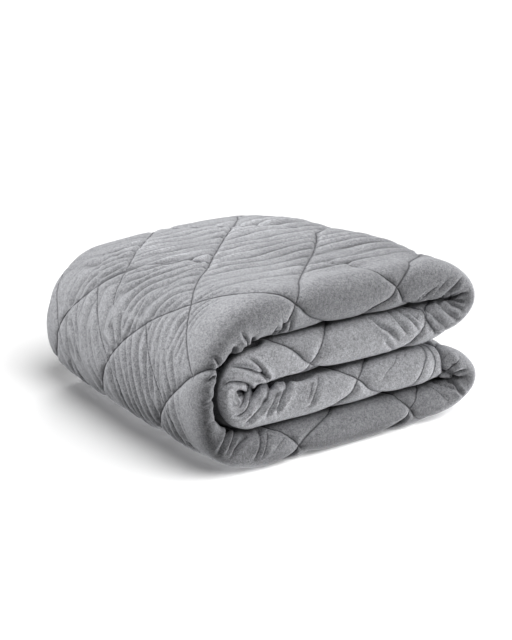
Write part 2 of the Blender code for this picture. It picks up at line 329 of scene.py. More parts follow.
# ============================================================ the fold
def settle(x, y, z):
    """Take points of the evenly folded strip to their place in the bundle."""
    v = np.clip(y / STRIP_WIDTH + 0.5, 0.0, 1.0)
    mid = 2.0 * PITCH
    lift = np.abs(z - mid)
    rho = np.where(x < X_LEFT, np.hypot(x - X_LEFT, lift), lift)
    fade = np.where(x < X_LEFT, 1.0, smooth(1.0 - (x - X_LEFT) / CURL_RUN))
    shift = -CURL * np.maximum(0.0, 1.0 - rho / mid) * fade
    lift = np.abs(z - np.where(z > mid, 3.0 * PITCH, PITCH))
    rho = np.where(x > X_RIGHT, np.hypot(x - X_RIGHT, lift), lift)
    fade = np.where(x > X_RIGHT, 1.0, smooth(1.0 - (X_RIGHT - x) / PINCH_RUN))
    pinch = PINCH_BACK + (PINCH_FRONT - PINCH_BACK) * np.maximum(0.0, 1.0 - v / 0.25) ** 2
    pull = pinch / RIGHT_REACH * np.maximum(0.0, 1.0 - rho / PITCH)
    near = np.where(
        x > X_RIGHT,
        smooth(np.arctan2(z - PITCH, x - X_RIGHT) / math.radians(40.0) - 1.25),
        smooth(1.0 - (X_RIGHT - x) / BUTT_RUN))
    between = (z > PITCH) & (z < mid)
    pull = np.where(between, pull + (BUTT - pull) * near, pull)
    x = x + shift + pull * fade
    length = X_RIGHT - X_LEFT + 3.0 * PITCH
    u = np.clip((x - X_LEFT + mid) / length, 0.0, 1.0)
    share = (z - LAYER_GAP / 2) / (4.0 * PITCH - LAYER_GAP)
    d, e = X_LEFT - x, x - X_RIGHT
    upper = np.clip((share - 0.5) * 8.0 + 0.5, 0.0, 1.0)
    reach = UPPER_NOSE * upper + LOWER_NOSE * (1.0 - upper)
    x = np.where(x < X_LEFT, X_LEFT - d * LEFT_REACH * (1.0 + LEFT_FULL * (d / mid - 1.0)),
                 np.where(x > X_RIGHT, X_RIGHT + e * RIGHT_REACH + e / PITCH * reach, x))
    height = HEIGHT_LEFT + (HEIGHT_RIGHT - HEIGHT_LEFT) * u
    height = height * (1.0 - BACK_SINK * v * v - BACK_LEFT_SINK * (1.0 - u) ** 2 * v * v
                       - END_SINK * (2.0 * u - 1.0) ** 2)
    share = share - LOWER_PRESS * share * (1.0 - share)
    x = x * (1.0 - BACK_TAPER * v ** 4) + BACK_SHIFT * (1.0 - u) * v * v
    return np.stack([x, y + SKEW * x, share * height], -1) - FOOTPRINT_MIDDLE


def hem_factor(distance):
    return HEM_THICK + (1.0 - HEM_THICK) * smooth(distance / HEM_DEPTH)


def strip_stations():
    """Along the strip: axis point x, z, left-hand normal, s in mm, stretch."""
    rows, spans, s0 = [], {}, 0.0
    for name, kind, level, start, end, radius, turn, cells, length in FOLDS:
        first = 0 if not rows else 1
        spans[name] = (s0, s0 + length, 0 if not rows else len(rows) - 1)
        for i in range(first, cells + 1):
            t = i / cells
            if kind == "run":
                way = 1.0 if end > start else -1.0
                rows.append((start + (end - start) * t, level * PITCH, 0.0, way, s0 + length * t))
            else:
                sweep = TAIL_SHORT if name == "lower nose" else 1.0
                begin = math.pi / 2 if name == "left turn" else -math.pi / 2
                a = begin + turn * math.pi * sweep * t
                x = start + radius * PITCH * math.cos(a)
                z = level * PITCH + radius * PITCH * math.sin(a)
                rows.append((x, z, -turn * math.cos(a), -turn * math.sin(a), s0 + length * sweep * t))
        s0 += length
    return np.array(rows), spans


def section_stations():
    """Round the closed section of the sheet: middle (w, h), offset to the
    skin in half plies (ow, oh), a in mm, which side."""
    half = STRIP_THICK / 2
    h_out = half - PLY_THICK / 2
    w_front = half
    h_in = -h_out + PLY_PITCH
    r_back = PLY_PITCH / 2
    w_back = STRIP_WIDTH - r_back - PLY_THICK / 2
    w_inner_end = w_front + 0.004
    start_of_front = w_front + FINE_FRONT - FRONT_ARC
    a_back = FRONT_ARC + w_back - w_front
    back_arc = math.pi * (r_back + PLY_THICK / 2)
    plus = []
    for name, cells in SECTION:
        first = 0 if not plus else 1
        for i in range(first, cells + 1):
            t = i / cells
            if name == "outer hem":
                d = HEM_RUN * t
                w, full = STRIP_WIDTH - d, hem_factor(d)
                plus.append((w, h_out, 0.0, full, -(FRONT_ARC + w - w_front)))
            elif name == "upper ply":
                w0 = STRIP_WIDTH - HEM_RUN
                w = w0 + (start_of_front - w0) * t
                plus.append((w, h_out, 0.0, 1.0, -(FRONT_ARC + w - w_front)))
            elif name == "front fold":
                a = -FINE_FRONT + 2 * FINE_FRONT * t
                if abs(a) >= FRONT_ARC:
                    w = w_front + abs(a) - FRONT_ARC
                    up = 1.0 if a < 0 else -1.0
                    plus.append((w, h_out * up, 0.0, up, a))
                else:
                    turn = -a / FRONT_ARC * math.pi / 2
                    c = max(0.0, math.cos(turn)) ** (2.0 / FRONT_ROUND)
                    s = math.copysign(abs(math.sin(turn)) ** (2.0 / FRONT_ROUND), turn)
                    plus.append((w_front - h_out * c, h_out * s, -c, s, a))
            elif name == "lower ply":
                w = start_of_front + (w_back - start_of_front) * t
                plus.append((w, -h_out, 0.0, -1.0, FRONT_ARC + w - w_front))
            elif name == "back fold":
                a = -math.pi / 2 + math.pi * t
                plus.append((w_back + r_back * math.cos(a), -h_out + r_back + r_back * math.sin(a),
                             math.cos(a), math.sin(a), a_back + back_arc * t))
            elif name == "inner ply":
                w = w_back + (w_inner_end + HEM_RUN - w_back) * t
                plus.append((w, h_in, 0.0, 1.0, a_back + back_arc + w_back - w))
            else:
                d = HEM_RUN * (1.0 - t)
                plus.append((w_inner_end + d, h_in, 0.0, hem_factor(d),
                             a_back + back_arc + w_back - w_inner_end - d))
    plus = np.array(plus)
    n = len(plus) - 1
    # the same stations on the other side, back again
    minus = plus[::-1].copy()
    minus[:, 2:4] *= -1.0

    def rim(edge, out):
        """Rounded edge from one side of a hem to the other."""
        rows = []
        for i in range(1, RIM):
            a = math.pi * i / RIM
            w, h, ow, oh, arc = edge
            r = PLY_THICK / 2 * math.hypot(ow, oh)
            rows.append((w + out * r * math.sin(a) * 0.8, h, ow * math.cos(a), oh * math.cos(a), arc))
        return np.array(rows)

    loop = np.concatenate([plus, rim(plus[-1], -1.0), minus, rim(minus[-1], 1.0)])
    side = np.concatenate([np.ones(n + 1), np.zeros(RIM - 1), -np.ones(n + 1), np.zeros(RIM - 1)])
    return loop, side, n


def levels_for(n_plus, spans, n_rows):
    """Coarseness of each block: 0 fine to 3 coarse."""
    n_loop = 2 * n_plus + 2 * RIM
    level = np.full((n_loop // BLOCK, n_rows // BLOCK), 3, int)
    edges, i = {}, 0
    for name, cells in SECTION:
        edges[name] = (i // BLOCK, (i + cells) // BLOCK)
        i += cells
    row = {}
    names = [f[0] for f in FOLDS]
    j = 0
    for f in FOLDS:
        row[f[0]] = (j // BLOCK, (j + f[7]) // BLOCK)
        j += f[7]
    lo, hi = edges["front fold"]
    level[lo:hi, :] = 0
    lo, hi = edges["lower ply"]
    for name in ("upper nose", "top layer", "left turn"):
        level[lo:hi, row[name][0]:row[name][1]] = 0
    for name in ("upper nose", "top layer"):
        level[hi - 5:hi, row[name][0]:row[name][1]] = 1
    for name in ("bottom layer", "lower nose"):
        level[lo:hi, row[name][0]:row[name][1]] = 1
    level[lo:lo + 1, :] = np.minimum(level[lo:lo + 1, :], 1)
    lo, hi = edges["back fold"]
    level[lo:hi, :] = 1
    lo, hi = edges["outer hem"]
    level[lo:hi, :] = 1
    last = n_plus // BLOCK
    level[last:last + 1, :] = 2                       # inner rim
    level[-1:, :] = 1                                 # outer rim
    level[-2:-1, :] = 1                               # outer hem, other side
    ends = level[:last, :2]
    level[:last, :2] = np.minimum(ends, 1)
    level[:last, -2:] = np.minimum(level[:last, -2:], 1)
    return level


# ============================================================ relief
def family(lines, a, s, g, slope):
    """For one kind of seam: running number, distance in mm, how much shows."""
    value, tilt, show = [], [], []
    for spans, points in lines:
        y, dy = curve_through(points, a, slope)
        if value:
            y = np.maximum(y, value[-1] + 22.0)
        value.append(y)
        tilt.append(dy)
        seen = np.zeros_like(a)
        for lo, hi in spans:
            seen = np.maximum(seen, smooth((a - lo) / 12.0 + 0.5) * smooth((hi - a) / 12.0 + 0.5))
        show.append(seen)
    value = np.array([value[0] - 180.0] + value + [value[-1] + 180.0])
    tilt = np.array([tilt[0]] + tilt + [tilt[-1]])
    show = np.array([np.ones_like(a)] + show + [np.ones_like(a)])
    k = np.clip((value < s[None, :]).sum(0) - 1, 0, len(value) - 2)
    at = np.arange(a.size)
    below, above = value[k, at], value[k + 1, at]
    t = (s - below) / (above - below)
    number = k + t
    near = np.where(t < 0.5, k, k + 1)
    m = tilt[near, at] * g
    dist = np.abs(s - value[near, at]) * g / np.sqrt(1.0 + m * m)
    gap = (above - below) * g / np.sqrt(1.0 + m * m)
    return number, dist, show[near, at], gap


def rounded_chain(points, parts=6):
    """Catmull-Rom curve through points."""
    p = np.asarray(points, float)
    if len(p) < 3:
        return p
    ext = np.vstack([2 * p[0] - p[1], p, 2 * p[-1] - p[-2]])
    out = []
    for k in range(1, len(ext) - 2):
        for t in np.arange(parts) / parts:
            out.append(0.5 * (2 * ext[k] + (ext[k + 1] - ext[k - 1]) * t
                              + (2 * ext[k - 1] - 5 * ext[k] + 4 * ext[k + 1] - ext[k + 2]) * t * t
                              + (3 * ext[k] - ext[k - 1] - 3 * ext[k + 1] + ext[k + 2]) * t ** 3))
    return np.array(out + [p[-1]])


def crease_fields(lines, place, normal, a, s, side):
    """Every crease as a groove with raised lips. lines holds each crease as a
    chain in mm in space. Gives the relief, and in each of CHANNELS sets the
    signed distance and the weight of the nearest crease of that set."""
    out = np.zeros(a.size)
    far = np.full((CHANNELS, a.size), 99.0)
    weight = np.zeros((CHANNELS, a.size))
    homes = [[] for _ in range(CHANNELS)]
    for (name, wide, deep, points), chain in zip(CREASES, lines):
        gaps = []
        for home in homes:
            gap = min((np.min(np.linalg.norm(chain[:, None] - other[None], axis=-1)) for other in home), default=999.0)
            gaps.append(gap)
        c = next((k for k in range(CHANNELS) if gaps[k] > 19.0), int(np.argmax(gaps)))
        homes[c].append(chain)
        run = np.array([p[1] for p in points], float)
        lo, hi = chain.min(0) - 22.0, chain.max(0) + 22.0
        m = np.where((side > 0) & (np.abs(a) < 95.0) & (s > run.min() - 45.0) & (s < run.max() + 45.0)
                     & np.all((place > lo) & (place < hi), axis=1))[0]
        if not m.size:
            continue
        p, nrm = place[m], normal[m]
        best, where, turn = np.full(m.size, 99.0), np.zeros(m.size), np.ones(m.size)
        steps = np.linalg.norm(np.diff(chain, axis=0), axis=1)
        lens = np.concatenate([[0.0], np.cumsum(steps)])
        for k in range(len(chain) - 1):
            d = chain[k + 1] - chain[k]
            t = np.clip((p - chain[k]) @ d / max(1e-9, d @ d), 0.0, 1.0)
            away = p - chain[k] - t[:, None] * d
            dist = np.linalg.norm(away, axis=1)
            hand = np.sign(np.einsum("ij,ij->i", np.cross(d[None], nrm), away))
            closer = dist < best
            best = np.where(closer, dist, best)
            turn = np.where(closer, hand, turn)
            where = np.where(closer, (lens[k] + t * steps[k]) / lens[-1], where)
        fade = smooth((1.0 - where) / 0.45)
        broad = max(wide, 2.4)
        if deep > 0:
            groove = np.exp(-(best / broad) ** 2)
            lips = 0.34 * np.exp(-((best - 2.3 * broad) / (1.4 * broad)) ** 2)
            out[m] += CREASE_GAIN * deep * fade * (lips - groove)
        else:
            out[m] -= deep * smooth(1.0 - best / wide)
        soft = 1.0 - 0.5 * (2.85 < wide < 3.9)
        strong = soft * fade * smooth(1.0 - best / 9.0) * np.clip(deep / 3.6, 0.0, 1.25)
        near = best < np.abs(far[c, m])
        far[c, m] = np.where(near, best * turn, far[c, m])
        weight[c, m] = np.where(near, strong, weight[c, m])
    return out, far, weight


def line_distance(a, s, points):
    """Distance in mm from a chain of points, with its side as the sign."""
    best, hand = np.full(a.size, 99.0), np.ones(a.size)
    for p, q in zip(points[:-1], points[1:]):
        da, ds = q[0] - p[0], q[1] - p[1]
        t = np.clip(((a - p[0]) * da + (s - p[1]) * ds) / (da * da + ds * ds), 0.0, 1.0)
        d = np.hypot(a - p[0] - t * da, s - p[1] - t * ds)
        closer = d < best
        best = np.where(closer, d, best)
        hand = np.where(closer, np.sign(da * (s - p[1]) - ds * (a - p[0])), hand)
    return best * hand


def relief(a, s, g, side, spans, creased):
    """How far the skin stands off the CAD skin, in mm, and the seam fields."""
    na, da, sa, gap_a = family(FALLING, a, s, g, -SLOPE)
    nb, db, sb, gap_b = family(RISING, a, s, g, SLOPE)
    ea = da + (1.0 - sa) * 40.0
    eb = db + (1.0 - sb) * 40.0
    near = np.minimum(ea, eb)
    # crowned diamonds between grooves
    flatter = 1.0 - 0.30 * smooth((a - 45.0) / 50.0) - 0.25 * smooth((a - 340.0) / 110.0) * smooth((600.0 - a) / 40.0)
    crown = flatter * (PUFF * (1.0 - np.exp(-near / PUFF_RUN)) - SEAM_SINK)
    groove = GROOVE * (sa * np.exp(-(da / GROOVE_RUN) ** 2) + sb * np.exp(-(db / GROOVE_RUN) ** 2))
    out = crown - groove
    # gathers run along the strip and arc over the left turn
    lift = 45.0 * smooth((s - 1035.0) / 105.0) - 22.0 * smooth((s - 1150.0) / 130.0)
    cell = np.floor(na) * 3.0 + np.floor(nb) * 7.0
    turn = np.sin(cell * 12.9898) * 43758.5453
    turn = turn - np.floor(turn)
    wander = 9.0 * noise(a / 60.0, s / 95.0, 3) + 4.0 * noise(a / 26.0, s / 60.0, 4)
    drift = (turn - 0.5) * (s - 1000.0)
    far = np.where(a > 280.0, 280.0 + 0.55 * (a - 280.0), a)
    tight = (far - lift + wander) / RIPPLE_STEP + turn * 3.0 + drift / 190.0
    loose = (far - 1.25 * lift - wander) / (RIPPLE_STEP * 1.45) + turn * 5.0 - drift / 150.0
    wide = (a - lift + 1.2 * wander) / RIPPLE_WIDE + 0.0016 * (s - 1000.0)
    rounded = lambda t: 2.0 * np.sqrt(np.sin(math.pi * t) ** 2 + 0.012) - 1.25
    pick = smooth(0.5 + 1.5 * noise(a / 34.0 + 9.0, s / 64.0, 8))
    flat_top = smooth((1105.0 - s) / 90.0)
    wave = rounded(tight) * pick + 1.15 * rounded(loose) * (1.0 - pick)
    swell = 1.8 * rounded(wide) + 0.7 * rounded(2.0 * wide + 0.3)
    wave = wave * (1.0 - flat_top) + swell * flat_top
    strength = 0.60 + 0.60 * np.exp(-near / 24.0) + 0.55 * noise(a / 46.0, s / 95.0, 5) \
        + 0.20 * bump(a, 300.0, 440.0, 40.0) * bump(s, 1020.0, 1200.0, 50.0)
    reach = smooth((np.abs(a) - 62.0) / 45.0) * (1.0 - 0.65 * smooth((a - 435.0) / 50.0)) \
        * smooth((s - 690.0) / 70.0)
    fill = smooth((near * flat_top + np.minimum(da, db) * (1.0 - flat_top)) / 7.0)
    live = np.clip(strength, 0.12, 1.6) * reach * fill * (side > 0)
    out += RIPPLE * wave * live
    # uneven filling
    out += 0.9 * noise(a / 62.0, s / 78.0, 6) + 0.45 * noise(a / 27.0, s / 31.0, 7)
    hems = [np.where(side > 0, line_distance(a, s, row), 99.0) for row in HEM_ROWS]
    for hem in hems:
        out -= 0.7 * np.exp(-(hem / 3.0) ** 2)
    # painted light and shade: the cloth colour is made lighter or darker region by region where light and shade fall,
    # lighter on the inner coil, darker on the wrap, the front and edges of the top layer and round the core of the
    # coil
    painted_light_and_shade = 1.0 - (WRAP_PAINTED_SHADE * smooth((62.0 - a) / 50.0) + 0.22 * smooth((8.0 - a) / 22.0)) * smooth((a + 90.0) / 30.0) \
        * bump(s, 1215.0, 1330.0, 70.0)
    painted_light_and_shade = painted_light_and_shade - 0.11 * smooth((70.0 - a) / 30.0) * bump(s, 800.0, 950.0, 40.0)
    painted_light_and_shade = painted_light_and_shade - 0.11 * smooth((45.0 - a) / 35.0) * bump(s, 1065.0, 1150.0, 40.0)
    painted_light_and_shade = painted_light_and_shade - 0.20 * smooth((a - 55.0) / 40.0) * smooth((330.0 - a) / 100.0) * bump(s, 760.0, 900.0, 60.0)
    painted_light_and_shade = painted_light_and_shade + COIL_PAINTED_LIGHT * smooth((72.0 - np.abs(a)) / 20.0) * smooth((700.0 - s) / 90.0)
    # painted highlight and shade along the gathers, lighter and darker with their waves
    painted_light_and_shade = painted_light_and_shade + (0.10 + 0.19 * flat_top + 0.07 * bump(s, 1040.0, 1160.0, 60.0)) * np.clip(wave, -1.5, 1.5) * live
    painted_light_and_shade = painted_light_and_shade - 0.30 * bump(a, 14.0, 60.0, 14.0) * bump(s, 275.0, 390.0, 16.0)
    painted_light_and_shade = painted_light_and_shade + 0.09 * smooth((a - 45.0) / 30.0) * bump(s, 1150.0, 1330.0, 50.0)
    painted_light_and_shade = painted_light_and_shade - 0.10 * smooth((a - 120.0) / 60.0) * bump(s, 980.0, 1100.0, 50.0)
    painted_light_and_shade = painted_light_and_shade - 0.20 * bump(s, 640.0, 745.0, 40.0) * smooth((a - 60.0) / 30.0)
    # painted shade: the colour is darkened inside the clefts between the layers
    lip = -41.0 + 15.0 * bump(s, 288.0, 392.0, 24.0) + 24.0 * bump(s, 1165.0, 1255.0, 25.0) \
        + 11.0 * bump(s, 1045.0, 1120.0, 22.0)
    cleft_painted_shade = smooth((lip - a) / 12.0) * smooth((s - 5.0) / 20.0)
    cleft_painted_shade = np.maximum(cleft_painted_shade, 0.45 * smooth((s - 1756.0) / 9.0) * smooth((2.0 - a) / 12.0))
    cleft_painted_shade = np.maximum(cleft_painted_shade, smooth((a - 37.0) / 8.0) * bump(s, 100.0, 240.0, 20.0))
    cleft_painted_shade = np.maximum(cleft_painted_shade, smooth((a - 39.0) / 12.0) * smooth((655.0 - s) / 15.0) * smooth((s - 5.0) / 20.0)
                       * (1.0 - 0.75 * bump(s, 278.0, 384.0, 16.0) * smooth((72.0 - a) / 14.0)))
    # painted shade along the underside of the bottom layer near the floor, and low on the left turn
    under = smooth((a + 4.0) / 24.0) * smooth((s - 1345.0) / 60.0) * (1.0 - smooth((s - 1640.0) / 60.0))
    painted_light_and_shade = painted_light_and_shade * (1.0 - CLEFT_PAINTED_SHADE * cleft_painted_shade * smooth((150.0 - np.abs(a)) / 40.0)) * (1.0 - 0.74 * under)
    painted_light_and_shade = painted_light_and_shade * (1.0 - 0.12 * bump(s, 1290.0, 1500.0, 80.0) * smooth((a - 45.0) / 40.0))
    # the coil and the turn round it draw back from each other
    out -= 7.0 * smooth((-a - 22.0) / 16.0) * bump(s, 290.0, 392.0, 24.0)
    out -= 5.0 * smooth((-a - 12.0) / 16.0) * bump(s, 1165.0, 1255.0, 25.0)
    # where the skin meets another layer it keeps to its own side
    free_run = np.maximum(bump(s, 668.0, 1388.0, 12.0), smooth((s - 1655.0) / 12.0))
    free_run = np.maximum(free_run, 0.9 * bump(s, 1388.0, 1660.0, 6.0))
    over = np.where(a > 0, np.maximum(smooth(1.0 - (a - 38.0) / 20.0), free_run),
                    smooth(1.0 - (-38.0 - a) / 20.0))
    back = bump(a, 522.0, 584.0, 14.0)
    over = np.maximum(over, back)
    over = np.maximum(over, smooth((-520.0 - a) / 12.0))
    over = np.where(side > 0, over, 0.0)
    out = np.where(out > 0, out * over, out * (0.15 + 0.85 * over))
    out += np.where(creased > 0, creased * over, creased)
    out = np.where(side > 0, out, 0.0)
    # the stitches show wider where the cloth is drawn tight along them
    gap_b = gap_b * (1.0 - 0.60 * bump(a, 220.0, 400.0, 50.0) * bump(s, 985.0, 1130.0, 50.0))
    return out, {"seam_a": na, "seam_b": nb, "show_a": sa * (side > 0), "show_b": sb * (side > 0),
                 "gap_a": gap_a, "gap_b": gap_b, "hem_one": hems[0], "hem_two": hems[1], "painted_light_and_shade": painted_light_and_shade,
                 "tight": tight, "loose": loose, "wide": wide,
                 "tight_on": live * pick * (1.0 - flat_top), "loose_on": live * (1.0 - pick) * (1.0 - flat_top),
                 "wide_on": live * flat_top}


# ============================================================ the mesh
def build_sheet():
    rows, spans = strip_stations()
    loop, side, n_plus = section_stations()
    n_loop, n_rows = len(loop), len(rows) - 1
    s = rows[:, 4]
    # thickness along the strip: both ends are hemmed and rounded off
    ends = np.minimum(s - s[0], s[-1] - s) / 1000.0
    full = hem_factor(ends)
    full = full * np.sqrt(np.clip(1.0 - (1.0 - np.minimum(1.0, ends / 0.0035 + 0.25)) ** 2, 0.0, 1.0))
    mag = np.hypot(loop[:, 2], loop[:, 3])
    scale = np.minimum(1.0, full[None, :] / np.maximum(mag, 1e-6)[:, None])
    w = loop[:, 0:1] + loop[:, 2:3] * scale * PLY_THICK / 2
    h = loop[:, 1:2] + loop[:, 3:4] * scale * PLY_THICK / 2
    x = rows[None, :, 0] + rows[None, :, 2] * h
    z = rows[None, :, 1] + rows[None, :, 3] * h
    base = settle(x, w - STRIP_WIDTH / 2, z)
    # normals and stretch on the lattice
    across = np.roll(base, -1, 0) - np.roll(base, 1, 0)
    along = np.gradient(base, axis=1)
    step = np.gradient(s)[None, :] / 1000.0
    stretch = np.linalg.norm(along, axis=-1) / step
    normal = np.cross(across, along)
    normal /= np.maximum(np.linalg.norm(normal, axis=-1, keepdims=True), 1e-12)

    level = levels_for(n_plus, spans, n_rows)
    used = np.zeros((n_loop, n_rows + 1), bool)
    for bi in range(level.shape[0]):
        for bj in range(level.shape[1]):
            k = 1 << level[bi, bj]
            ii = np.arange(bi * BLOCK, bi * BLOCK + BLOCK + 1, k) % n_loop
            jj = np.arange(bj * BLOCK, bj * BLOCK + BLOCK + 1, k)
            used[np.ix_(ii, jj)] = True
    index = np.full(used.shape, -1, int)
    ui, uj = np.nonzero(used)
    index[ui, uj] = np.arange(ui.size)

    faces = []
    for bi in range(level.shape[0]):
        for bj in range(level.shape[1]):
            k = 1 << level[bi, bj]
            for i in range(bi * BLOCK, (bi + 1) * BLOCK, k):
                for j in range(bj * BLOCK, (bj + 1) * BLOCK, k):
                    if k == 1:
                        i1 = (i + 1) % n_loop
                        faces.append((index[i, j], index[i1, j], index[i1, j + 1], index[i, j + 1]))
                        continue
                    ring = [(i + t, j) for t in range(k)] + [(i + k, j + t) for t in range(k)]
                    ring += [(i + k - t, j + k) for t in range(k)] + [(i, j + k - t) for t in range(k)]
                    faces.append(tuple(index[p % n_loop, q] for p, q in ring if used[p % n_loop, q]))
    # the two sewn ends of the strip
    mate = 2 * n_plus + RIM
    for j, flip in ((0, False), (n_rows, True)):
        for b in range(n_plus // BLOCK):
            one = [i for i in range(b * BLOCK, (b + 1) * BLOCK + 1) if used[i, j]]
            two = [mate - i for i in range(b * BLOCK, (b + 1) * BLOCK + 1) if used[mate - i, j]]
            ring = one + two[::-1]
            ring = [index[i, j] for i in ring]
            faces.append(tuple(ring if flip else ring[::-1]))
        for lo in (n_plus, 2 * n_plus + RIM):
            ring = [index[i % n_loop, j] for i in range(lo, lo + RIM + 1) if used[i % n_loop, j]]
            faces.append(tuple(ring if flip else ring[::-1]))

    a = loop[ui, 4] * 1000.0
    sv = s[uj]
    sd = side[ui]
    g = np.clip(stretch[ui, uj], 0.3, 4.0)
    # the creases, taken to their place in space
    arc, count = loop[:n_plus + 1, 4] * 1000.0, np.arange(n_plus + 1)
    lines = []
    for name, wide, deep, points in CREASES:
        chain = []
        for pa, ps in points:
            fi, fj = np.interp(pa, arc, count), np.interp(ps, s, np.arange(n_rows + 1))
            i, j = min(int(fi), n_plus - 1), min(int(fj), n_rows - 1)
            u, v = fi - i, fj - j
            chain.append(((base[i, j] * (1 - v) + base[i, j + 1] * v) * (1 - u)
                          + (base[i + 1, j] * (1 - v) + base[i + 1, j + 1] * v) * u) * 1000.0)
        lines.append(rounded_chain(chain))
    creased, crease_mm, crease_on = crease_fields(lines, base[ui, uj] * 1000.0, normal[ui, uj], a, sv, sd)
    off, fields = relief(a, sv, g, sd, spans, creased)
    co = base[ui, uj] + normal[ui, uj] * (off / 1000.0)[:, None]
    plug = smooth(a / 16.0) * smooth((88.0 - a) / 24.0) * bump(sv, 278.0, 384.0, 16.0) * (sd > 0)
    plug = plug * np.clip(w[ui, uj], 0.0, 0.042)
    co += CORE_WAY * (plug * CORE_FULL)[:, None]
    # the underside lies flat
    co[:, 2] = np.maximum(co[:, 2], 0.0)

    mesh = bpy.data.meshes.new("quilted_sheet")
    mesh.from_pydata(co.tolist(), [], faces)
    mesh.validate()
    for k in range(CHANNELS):
        fields["crease_mm_%d" % k], fields["crease_on_%d" % k] = crease_mm[k], crease_on[k]
    for name, data in fields.items():
        layer = mesh.attributes.new(name, "FLOAT", "POINT")
        layer.data.foreach_set("value", data.astype(np.float32))
    mesh.shade_smooth()
    obj = bpy.data.objects.new("quilted_blanket", mesh)
    bpy.context.scene.collection.objects.link(obj)
    return obj


# ============================================================ material
class Nodes:
    def __init__(self, material):
        material.use_nodes = True
        self.tree = material.node_tree
        self.tree.nodes.clear()

    def add(self, kind, inputs=None, **props):
        node = self.tree.nodes.new(kind)
        for k, v in props.items():
            setattr(node, k, v)
        for k, v in (inputs or {}).items():
            if isinstance(v, bpy.types.NodeSocket):
                self.tree.links.new(v, node.inputs[k])
            else:
                node.inputs[k].default_value = v
        return node

    def math(self, op, *args, clamp=False):
        return self.add("ShaderNodeMath", dict(enumerate(args)), operation=op, use_clamp=clamp).outputs[0]

    def attribute(self, name):
        return self.add("ShaderNodeAttribute", attribute_name=name).outputs["Fac"]


